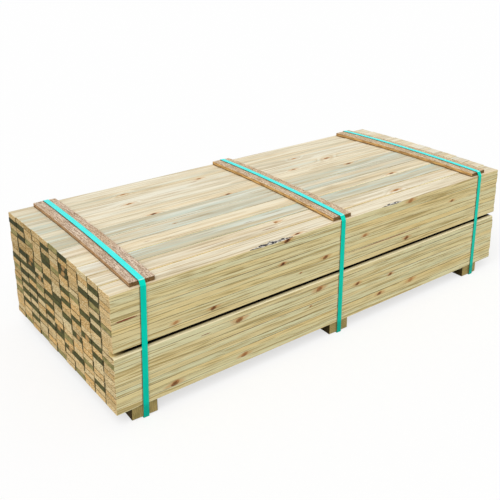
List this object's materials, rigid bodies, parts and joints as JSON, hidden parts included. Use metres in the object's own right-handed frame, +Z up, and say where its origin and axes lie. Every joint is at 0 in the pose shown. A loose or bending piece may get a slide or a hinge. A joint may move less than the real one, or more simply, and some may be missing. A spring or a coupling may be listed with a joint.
{
  "type": "bundle of fence palings",
  "caption": "Strapped bundle of flat sawn fence palings stacked in columns, on timber bearers for a fork, with thin battens under flat plastic straps.",
  "frame": {"origin": "middle of the bundle on the floor under the straps", "axes": "+X along the palings towards the far end, +Y from the front face to the back, +Z up"},
  "size_m": [1.802, 0.7964, 0.4693],
  "materials": {
    "paling_timber": "rough sawn, cream and tan with green treated ends",
    "bearer_timber": "sawn, olive brown",
    "batten_timber": "rough sawn, weathered grey brown",
    "strap_plastic": "embossed flat band, teal"
  },
  "bodies": {
    "root": {"paling_layer_01": "paling_timber", "paling_layer_02": "paling_timber", "paling_layer_03": "paling_timber", "paling_layer_04": "paling_timber", "paling_layer_05": "paling_timber", "paling_layer_06": "paling_timber", "paling_layer_07": "paling_timber", "paling_layer_08": "paling_timber", "paling_layer_09": "paling_timber", "paling_layer_10": "paling_timber", "paling_layer_11": "paling_timber", "paling_layer_12": "paling_timber", "paling_layer_13": "paling_timber", "paling_layer_14": "paling_timber", "paling_layer_15": "paling_timber", "paling_layer_16": "paling_timber", "paling_layer_17": "paling_timber", "paling_layer_18": "paling_timber", "paling_layer_19": "paling_timber", "paling_layer_20": "paling_timber", "paling_layer_21": "paling_timber", "bearer_near": "bearer_timber", "bearer_middle": "bearer_timber", "bearer_far": "bearer_timber", "top_batten_near": "batten_timber", "top_batten_middle": "batten_timber", "top_batten_far": "batten_timber", "strap_near": "strap_plastic", "strap_middle": "strap_plastic", "strap_far": "strap_plastic"}
  },
  "joints": []
}
